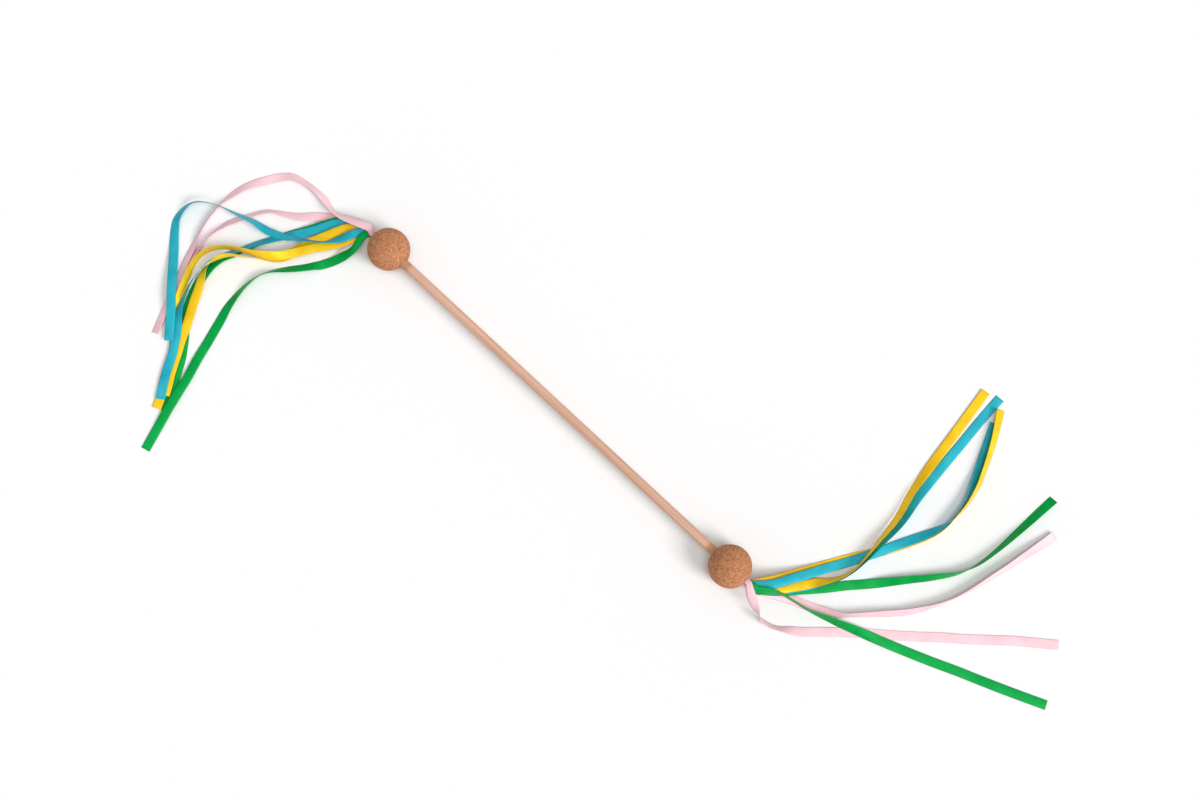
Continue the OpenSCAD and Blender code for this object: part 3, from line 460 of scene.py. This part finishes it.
def object_place(tree, scale=(1, 1, 1)):
    """Object coordinates, scaled along each of their directions."""
    return stretched(tree, add_node(tree, "ShaderNodeTexCoord", {}).outputs["Object"], scale)


def noise_at(tree, place, scale, detail=3.0, roughness=0.5):
    """The grey output of a noise texture."""
    inputs = {"Vector": place, "Scale": scale, "Detail": detail, "Roughness": roughness}
    return add_node(tree, "ShaderNodeTexNoise", inputs).outputs["Fac"]


def satin_colour(tree, floats, selvedge, from_root, tones):
    """Cloudy streaks, deeper at the selvedges, with painted shade darkening the ribbon at the ball's mouth.
    """
    deep, body, light = tones
    streaks = share_of(tree, floats, 0.6)
    clouds = share_of(tree, noise_at(tree, object_place(tree), 60.0, detail=2.0), 0.4)
    shading = calculate(tree, "ADD", streaks, clouds)
    colour = colour_ramp(tree, shading, [(0.25, deep), (0.5, body), (0.8, light)])
    colour = mix_colours(tree, share_of(tree, selvedge, 0.35), colour, deep)
    # Painted shade: up to one ribbon width from the root the colour is mostly the deep tone, fading out by
    # two widths, just past the ball's mouth
    return mix_colours(tree, grey_ramp(tree, from_root, 0.10, 0.20, 0.7, 0.0), colour, deep)


def satin_normal(tree, place, floats, selvedge, from_middle, from_root):
    """Slow waves, pleats that fade from the mouth, a bowed section, and the weave on top of them."""
    waves = noise_at(tree, stretched(tree, place, (0.35, 0.3, 1)), 1.0, detail=1.0)
    gathers = noise_at(tree, stretched(tree, place, (3.2, 0.16, 1)), 1.3, detail=1.0)
    pleats = calculate(tree, "MULTIPLY", gathers, grey_ramp(tree, from_root, 0.12, 0.42, 1.0, 0.0))
    bow = calculate(tree, "MULTIPLY", from_middle, from_middle)
    bow = calculate(tree, "MULTIPLY", bow, grey_ramp(tree, from_root, 0.1, 0.9, 1.0, 0.15))
    picks = add_node(
        tree, "ShaderNodeTexWave", {"Vector": place, "Scale": 9.0, "Distortion": 0.6, "Detail": 1.0},
        bands_direction="Y"
    ).outputs["Fac"]
    normal = None
    for height, strength, millimetres in (
        (waves, 0.7, 2.4), (pleats, 0.9, 2), (bow, 1.0, -5),
        (floats, 0.12, 0.1), (picks, 0.1, 0.05), (selvedge, 0.5, 0.08),
    ):
        normal = add_bump(tree, height, strength, millimetres * MM, normal)
    return normal


def satin(name, deep, body, light, gloss):
    """Woven satin ribbon: long floats along it, fine picks across it, and a firm selvedge down each side."""
    material, tree, shader = new_material(name)
    place = add_node(tree, "ShaderNodeUVMap", {}).outputs["UV"]
    split = add_node(tree, "ShaderNodeSeparateXYZ", {0: place})
    from_middle = calculate(tree, "ABSOLUTE", calculate(tree, "SUBTRACT", split.outputs["X"], 0.5))
    from_root = calculate(tree, "DIVIDE", split.outputs["Y"], RAMP_WIDTHS)
    floats = noise_at(tree, stretched(tree, place, (26, 0.6, 1)), 4.0, detail=4.0, roughness=0.6)
    selvedge = grey_ramp(tree, from_middle, *SELVEDGE)
    colour = satin_colour(tree, floats, selvedge, from_root, (deep, body, light))
    tree.links.new(colour, shader.inputs["Base Color"])
    tree.links.new(grey_ramp(tree, floats, 0.3, 0.7, 0.36, 0.46), shader.inputs["Roughness"])
    normal = satin_normal(tree, place, floats, selvedge, from_middle, from_root)
    tree.links.new(normal, shader.inputs["Normal"])
    shader.inputs["Specular IOR Level"].default_value = 0.12
    shader.inputs["Metallic"].default_value = gloss
    shader.inputs["Anisotropic"].default_value = 0.4
    return material


def cork_grains(tree, place):
    """Each grain's own tone and how far in from its border a point is; drift keeps the borders crooked."""
    drift = add_node(tree, "ShaderNodeTexNoise", {"Vector": place, "Scale": 500.0, "Detail": 2.0})
    reach = (GRAIN_DRIFT, GRAIN_DRIFT, GRAIN_DRIFT)
    drifted = calculate_vector(tree, "MULTIPLY_ADD", (drift.outputs["Color"], reach, place))
    inputs = {"Vector": drifted, "Scale": GRAINS_PER_METRE, "Randomness": 1.0}
    cells = add_node(tree, "ShaderNodeTexVoronoi", inputs)
    borders = add_node(tree, "ShaderNodeTexVoronoi", inputs, feature="DISTANCE_TO_EDGE")
    tone = add_node(tree, "ShaderNodeSeparateColor", {0: cells.outputs["Color"]}).outputs[0]
    return tone, borders.outputs["Distance"]


def from_dowel_axis(tree, place):
    """Distance from the dowel's axis, in centimetres."""
    lowered = calculate_vector(tree, "ADD", (place, (0, 0, -WAND_HEIGHT)))
    in_centimetres = (0, CENTIMETRES_PER_METRE, CENTIMETRES_PER_METRE)
    across = calculate_vector(tree, "MULTIPLY", (lowered, in_centimetres))
    return calculate_vector(tree, "LENGTH", (across,))


def cork_material():
    """Pressed cork: small grains in several browns, dark flecks between them, and painted shade round each
    bore, where the dowel goes in.
    """
    material, tree, shader = new_material("pressed_cork")
    place = object_place(tree)
    squeezed = object_place(tree, CORK_SQUEEZE)
    warp = noise_at(tree, squeezed, 800.0, detail=2.0)
    grain, inwards = cork_grains(tree, squeezed)
    tones = colour_ramp(tree, grain, [
        (0.0, (0.27, 0.098, 0.037)),
        (0.35, (0.43, 0.172, 0.075)),
        (0.7, (0.52, 0.220, 0.100)),
        (1.0, (0.62, 0.285, 0.140)),
    ])
    clouds = grey_ramp(tree, noise_at(tree, place, 110.0, detail=4.0, roughness=0.6), 0.3, 0.7)
    tones = mix_colours(tree, share_of(tree, clouds, 0.3), tones, (0.42, 0.185, 0.090))
    seams = grey_ramp(tree, inwards, 0.0, 0.12, 0.22, 0.0)
    tones = mix_colours(tree, seams, tones, (0.23, 0.085, 0.032))
    fleck_noise = noise_at(tree, object_place(tree, (2.4, 1, 1)), 360.0, detail=3.0, roughness=0.7)
    flecks = grey_ramp(tree, fleck_noise, 0.62, 0.7)
    tones = mix_colours(tree, share_of(tree, flecks, 0.75), tones, (0.17, 0.062, 0.026))
    # Painted shade: the cork turns dark brown on the rim of each bore, within about 6 mm of the dowel's axis,
    # in the seam where the dowel enters the ball
    uneven = calculate(tree, "ADD", from_dowel_axis(tree, place), share_of(tree, warp, 0.12))
    tones = mix_colours(tree, grey_ramp(tree, uneven, 0.56, 0.68), (0.15, 0.058, 0.026), tones)
    tree.links.new(tones, shader.inputs["Base Color"])
    normal = add_bump(tree, warp, 0.25, 0.2 * MM)
    normal = add_bump(tree, flecks, 0.5, -0.2 * MM, normal)
    tree.links.new(normal, shader.inputs["Normal"])
    tree.links.new(grey_ramp(tree, grain, 0.0, 1.0, 0.82, 0.68), shader.inputs["Roughness"])
    shader.inputs["Specular IOR Level"].default_value = 0.3
    return material


def brown_band(tree, broad):
    """How far into the brown band beside a ball a point of the dowel is."""
    along = add_node(tree, "ShaderNodeSeparateXYZ", {0: object_place(tree)}).outputs["X"]
    from_middle = calculate(tree, "ABSOLUTE", along)
    uneven = calculate(tree, "ADD", from_middle, share_of(tree, broad, 3 * MM))
    return grey_ramp(tree, share_of(tree, uneven, RAMPS_PER_METRE), *BAND, 0.0, 0.85)


def beech_material():
    """Sanded beech: long pale grain, short darker ray flecks, and a brown band beside each ball."""
    material, tree, shader = new_material("sanded_beech")
    grain = noise_at(tree, object_place(tree, (5, 260, 260)), 1.6, detail=5.0, roughness=0.6)
    broad = noise_at(tree, object_place(tree, (9, 90, 90)), 1.0, detail=2.0)
    ray_noise = noise_at(tree, object_place(tree, (170, 1500, 1500)), 1.3, detail=2.0)
    rays = grey_ramp(tree, ray_noise, 0.63, 0.7)
    colour = colour_ramp(tree, grain, [
        (0.3, (0.47, 0.255, 0.165)),
        (0.5, (0.62, 0.365, 0.255)),
        (0.72, (0.71, 0.450, 0.325)),
    ])
    colour = mix_colours(tree, share_of(tree, broad, 0.25), colour, (0.60, 0.340, 0.230))
    colour = mix_colours(tree, share_of(tree, rays, 0.3), colour, (0.44, 0.225, 0.135))
    colour = mix_colours(tree, brown_band(tree, broad), colour, (0.46, 0.205, 0.105))
    tree.links.new(colour, shader.inputs["Base Color"])
    tree.links.new(grey_ramp(tree, grain, 0.3, 0.7, 0.5, 0.62), shader.inputs["Roughness"])
    normal = add_bump(tree, grain, 0.15, 0.1 * MM)
    tree.links.new(add_bump(tree, rays, 0.2, -0.08 * MM, normal), shader.inputs["Normal"])
    shader.inputs["Specular IOR Level"].default_value = 0.35
    return material


def glue_material():
    """Set wood glue: cream, slightly glossy and lumpy."""
    material, tree, shader = new_material("set_glue")
    lumps = noise_at(tree, object_place(tree), 500.0)
    colour = colour_ramp(tree, lumps, [(0.3, (0.62, 0.54, 0.40)), (0.7, (0.83, 0.77, 0.62))])
    tree.links.new(colour, shader.inputs["Base Color"])
    tree.links.new(grey_ramp(tree, lumps, 0.3, 0.7, 0.3, 0.5), shader.inputs["Roughness"])
    tree.links.new(add_bump(tree, lumps, 0.5, 0.3 * MM), shader.inputs["Normal"])
    return material


def pressed_roots_material():
    """The glued stack of ribbon ends: its layers' colours run into each other from the bottom to the top."""
    material, tree, shader = new_material("pressed_roots")
    place = object_place(tree)
    height = add_node(tree, "ShaderNodeSeparateXYZ", {0: place}).outputs["Z"]
    above_axis = calculate(tree, "SUBTRACT", height, WAND_HEIGHT)
    share = calculate(tree, "ADD", calculate(tree, "DIVIDE", above_axis, LAYERS * LAYER_PITCH), 0.5)
    stain_depth = 0.03
    stains = share_of(tree, noise_at(tree, place, 900.0, detail=2.0), stain_depth)
    colour = colour_ramp(tree, calculate(tree, "ADD", share, stains), [
        (0.0, (0.85, 0.55, 0.60)),
        (0.25, (0.01, 0.35, 0.08)),
        (0.5, (0.85, 0.52, 0.04)),
        (0.75, (0.05, 0.42, 0.52)),
        (1.0, (0.85, 0.55, 0.60)),
    ])
    tree.links.new(colour, shader.inputs["Base Color"])
    tree.links.new(grey_ramp(tree, stains, 0.0, stain_depth, 0.35, 0.6), shader.inputs["Roughness"])
    return material


def floor_material():
    """Matt white studio card with a trace of tooth."""
    material, tree, shader = new_material("white_card")
    tooth = noise_at(tree, object_place(tree), 900.0, detail=2.0)
    colour = colour_ramp(tree, tooth, [(0.3, (0.83, 0.83, 0.83)), (0.7, (0.86, 0.86, 0.86))])
    tree.links.new(colour, shader.inputs["Base Color"])
    tree.links.new(add_bump(tree, tooth, 0.05, 0.1 * MM), shader.inputs["Normal"])
    shader.inputs["Roughness"].default_value = 0.9
    shader.inputs["Specular IOR Level"].default_value = 0.1
    return material


def row_at(route, share):
    """The route's row at a share from 0 to 1 of the way along it, on a smooth curve through the rows."""
    spans = len(route) - 1
    place = min(max(share, 0), 1) * spans
    i = min(int(place), spans - 1)
    t = place - i
    before, first = route[max(i - 1, 0)], route[i]
    second, after = route[i + 1], route[min(i + 2, spans)]
    return [
        (2 * b + (c - a) * t + (2 * a - 5 * b + 4 * c - d) * t * t + (3 * b - a - 3 * c + d) * t ** 3) / 2
        for a, b, c, d in zip(before, first, second, after)
    ]


def width_at(out):
    """How wide a ribbon has opened at a distance from the ball's pole."""
    opened = min(max(out / OPENING_LENGTH, 0), 1)
    return GATHERED_WIDTH + (RIBBON_WIDTH - GATHERED_WIDTH) * opened * opened * (3 - 2 * opened)


def middle_of(row, width):
    """The middle of the ribbon at a row, whose lower edge rests at the row's height."""
    roll = math.radians(row[3])
    rise = (width * abs(math.sin(roll)) + SOLID_THICKNESS * abs(math.cos(roll))) / 2
    return Vector((POLE + row[0], row[1], row[2] + rise))


def frame_at(route, share):
    """Middle, across and face directions, and width of a ribbon at a share of its route."""
    row = row_at(route, share)
    width = width_at(row[0])
    before = middle_of(row_at(route, share - SLOPE_STEP), width)
    after = middle_of(row_at(route, share + SLOPE_STEP), width)
    along = (after - before).normalized()
    level = Vector((-along.y, along.x, 0)).normalized()
    up = along.cross(level)
    roll = math.radians(row[3])
    across = level * math.cos(roll) + up * math.sin(roll)
    face = up * math.cos(roll) - level * math.sin(roll)
    return middle_of(row, width), across, face, width


def layer_floor(layer):
    """Height of a layer's lower face in the bore, where layer 0 is the top one."""
    return WAND_HEIGHT + ((LAYERS - 1) / 2 - layer) * LAYER_PITCH - SOLID_THICKNESS / 2


def whole_route(rows, layer):
    """A ribbon's rows in metres, from the pressed roots in the bore to the tip."""
    floor = layer_floor(layer)
    lead = [[out, 0, floor, 0] for out in (ROOT_GAP, STRAIGHT_LEAD)]
    return lead + [[out * MM, side * MM, lift * MM, roll] for out, side, lift, roll in rows]


def ribbon_frames(rows, layer):
    """The frames that a ribbon is swept along, with its straight part inside the bore first."""
    route = whole_route(rows, layer)
    steps = RINGS_PER_ROW * (len(route) - 1)
    frames = [frame_at(route, k / steps) for k in range(steps + 1)]
    start = frames[0]
    inside = []
    for k in range(RINGS_PER_ROW):
        back = (ROOT_LENGTH + ROOT_GAP) * (1 - k / RINGS_PER_ROW)
        inside.append((start[0] - Vector((back, 0, 0)), *start[1:]))
    return inside + frames


def section_at(place, across, face, width):
    """The closed outline of a ribbon at one frame, with shallow pleats where it is gathered."""
    gathered = (RIBBON_WIDTH - width) / (RIBBON_WIDTH - GATHERED_WIDTH)
    outline = []
    for side in (1, -1):
        for k in range(SECTION_PIECES + 1):
            share = k / SECTION_PIECES if side == 1 else 1 - k / SECTION_PIECES
            pleat = PLEAT_HEIGHT * gathered * math.cos(2 * math.pi * PLEATS * share)
            offset = pleat + side * SATIN_THICKNESS / 2
            outline.append(place + across * (0.5 - share) * width + face * offset)
    return outline


def swept_faces(rings, count):
    """Quads round a swept outline, and a cap on each end."""
    faces = []
    for k in range(rings - 1):
        for i in range(count):
            a, b = k * count + i, k * count + (i + 1) % count
            faces.append((a, b, b + count, a + count))
    last = (rings - 1) * count
    faces.append(tuple(reversed(range(count))))
    faces.append(tuple(range(last, last + count)))
    return faces


def mirrored(faces, side):
    """The faces as they are on the right, and turned over on the left, where the points are mirrored."""
    return faces if side == 1 else [tuple(reversed(face)) for face in faces]


def lay_out_uv(obj, lengths, count):
    """UV with U across the ribbon and V along it, both in ribbon widths."""
    layer = obj.data.uv_layers.new(name="ribbon")
    half = count // 2
    for loop in obj.data.loops:
        ring, i = divmod(loop.vertex_index, count)
        share = i / (half - 1) if i < half else 1 - (i - half) / (half - 1)
        layer.data[loop.index].uv = (share, lengths[ring] / RIBBON_WIDTH)


def path_lengths(path):
    """How far along a path each of its points lies."""
    lengths = [0.0]
    for first, second in zip(path, path[1:]):
        lengths.append(lengths[-1] + (second - first).length)
    return lengths


def add_ribbon(name, side, layer, material):
    """One satin ribbon, from the pressed roots to its square-cut tip."""
    frames = ribbon_frames(ROUTES[name], layer)
    count = 2 * (SECTION_PIECES + 1)
    points = [Vector((side * p.x, p.y, p.z)) for f in frames for p in section_at(*f)]
    faces = mirrored(swept_faces(len(frames), count), side)
    path = [Vector((side * f[0].x, f[0].y, f[0].z)) for f in frames]
    lengths = path_lengths(path)
    obj = new_object(name + "_satin", points, faces)
    for cut_end in obj.data.polygons[-2:]:
        cut_end.use_smooth = False
    lay_out_uv(obj, lengths, count)
    obj.data.materials.append(material)
    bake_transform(obj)
    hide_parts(name)


def revolve(profile, segments, side=1):
    """Points and faces of a closed profile of (along X, radius), turned about the dowel's axis."""
    points = []
    for x, radius in profile:
        for k in range(segments):
            angle = 2 * math.pi * k / segments
            y, z = radius * math.cos(angle), radius * math.sin(angle)
            points.append(Vector((side * x, y, WAND_HEIGHT + z)))
    faces = []
    count = len(profile)
    for j in range(count):
        for k in range(segments):
            a, b = j * segments + k, j * segments + (k + 1) % segments
            c, d = (j + 1) % count * segments + k, (j + 1) % count * segments + (k + 1) % segments
            faces.append((a, c, d, b) if side == 1 else (a, b, d, c))
    return points, faces


def ball_profile():
    """The half outline of a bored ball, with its broken edges at both mouths."""
    start = math.asin((BORE_RADIUS + BALL_RIM) / BALL_RADIUS)
    profile = []
    for k in range(BALL_STEPS + 1):
        angle = start + (math.pi - 2 * start) * k / BALL_STEPS
        profile.append((BALL_MIDDLE + BALL_RADIUS * math.cos(angle), BALL_RADIUS * math.sin(angle)))
    depth = BALL_RADIUS * math.cos(start) - BALL_RIM
    for k in range(BORE_STEPS + 1):
        profile.append((BALL_MIDDLE - depth + 2 * depth * k / BORE_STEPS, BORE_RADIUS))
    return profile


def roughen(points, middle):
    """Sinks shallow dents and small pits into a ball's skin; nothing stands proud of it."""
    for p in points:
        out = p - middle
        if out.length < BALL_RADIUS * SKIN_SHARE:
            continue
        dents = 0.5 + 0.5 * noise.noise(p * DENTS_PER_METRE)
        pits = max(0, noise.noise(p * PITS_PER_METRE + Vector(PIT_SHIFT)) - PIT_THRESHOLD)
        p -= out.normalized() * (DENT_DEPTH * dents + PIT_DEPTH * pits)


def add_ball(name, side, material):
    """One cork ball, bored through."""
    points, faces = revolve(ball_profile(), BALL_SEGMENTS, side)
    roughen(points, Vector((side * BALL_MIDDLE, 0, WAND_HEIGHT)))
    obj = new_object(name + "_skin", points, faces)
    obj.data.materials.append(material)
    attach(obj, "wand")
    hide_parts(name)


def add_rod(material):
    """The dowel, with sanded ends."""
    profile = [(-ROD_END, AXIS_HAIR), (-ROD_END, ROD_RADIUS - ROD_BEVEL)]
    for k in range(ROD_RINGS + 1):
        profile.append((-ROD_END + ROD_BEVEL + (2 * ROD_END - 2 * ROD_BEVEL) * k / ROD_RINGS, ROD_RADIUS))
    profile += [(ROD_END, ROD_RADIUS - ROD_BEVEL), (ROD_END, AXIS_HAIR)]
    profile.reverse()
    points, faces = revolve(profile, ROD_SEGMENTS)
    obj = new_object("dowel_rod", points, faces)
    obj.data.materials.append(material)
    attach(obj, "wand")
    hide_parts("dowel")


def add_pressed_roots(name, side, material):
    """The block of glued ribbon ends, between the dowel and the loose ribbons."""
    low = ROD_END + ROOTS_GAP
    high = POLE - ROOT_LENGTH + ROOTS_OVERLAP
    corners = []
    for k in range(ROOTS_STEPS + 1):
        x = low + (high - low) * k / ROOTS_STEPS
        waist = 1 - ROOTS_WAIST * math.sin(math.pi * k / ROOTS_STEPS)
        half_width, half_height = GATHERED_WIDTH / 2 * waist, STACK_HEIGHT / 2 * waist
        for y, z in ((1, 1), (-1, 1), (-1, -1), (1, -1)):
            corners.append(Vector((side * x, y * half_width, WAND_HEIGHT + z * half_height)))
    faces = mirrored(swept_faces(ROOTS_STEPS + 1, 4), side)
    obj = new_object(name + "_pressed", corners, faces, smooth=False)
    obj.data.materials.append(material)
    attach(obj, "wand")
    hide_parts(name)


def finish_node(name, material):
    """Gives a CAD node that is kept its finished material."""
    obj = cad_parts[name]
    obj.data.materials.clear()
    obj.data.materials.append(material)


def add_floor():
    """A wide white card for the wand to lie on, whose far border rises past the horizon."""
    corners = [(-1, -1), (1, -1), (1, 1), (-1, 1)]
    points = [(x * FLOOR_FLAT, y * FLOOR_FLAT, 0) for x, y in corners]
    points += [(x * FLOOR_WIDE, y * FLOOR_WIDE, FLOOR_RISE) for x, y in corners]
    faces = [(0, 1, 2, 3)]
    for k in range(4):
        after = (k + 1) % 4
        faces.append((k, k + 4, after + 4, after))
    obj = new_object("floor", points, faces, smooth=False)
    obj.data.materials.append(floor_material())


def add_sun(name, to_right, to_bottom, upwards, strength, softness):
    """A white sun that shines from a direction; its softness is its width in degrees."""
    right, down = picture_ways()
    direction = right * to_right + down * to_bottom + Vector((0, 0, upwards))
    light = bpy.data.lights.new(name, "SUN")
    light.energy = strength
    light.angle = math.radians(softness)
    obj = bpy.data.objects.new(name, light)
    obj.location = direction
    obj.rotation_euler = (-direction).to_track_quat("-Z", "Y").to_euler()
    bpy.context.scene.collection.objects.link(obj)


def light_scene():
    """A broad soft key from the photograph's right, a weaker light above and a pale surround."""
    world = bpy.data.worlds.new("studio")
    bpy.context.scene.world = world
    world.use_nodes = True
    background = world.node_tree.nodes["Background"]
    background.inputs["Color"].default_value = (1, 1, 1, 1)
    background.inputs["Strength"].default_value = SURROUND
    for name, settings in SUNS.items():
        add_sun(name, *settings)
    bpy.context.scene.view_settings.view_transform = "Standard"


add_camera()

weaves = {colour: satin(colour + "_satin_weave", *looks) for colour, looks in SATINS.items()}
for end, side in ENDS.items():
    for layer, ribbon in enumerate(STACKS[end]):
        add_ribbon(ribbon, side, layer, weaves[ribbon.split("_")[1]])

cork = cork_material()
glue = glue_material()
roots = pressed_roots_material()
for end, side in ENDS.items():
    add_ball(end + "_cork_ball", side, cork)
    add_pressed_roots(end + "_ribbon_roots", side, roots)
    finish_node(end + "_glue_plug", glue)
add_rod(beech_material())
add_floor()
light_scene()
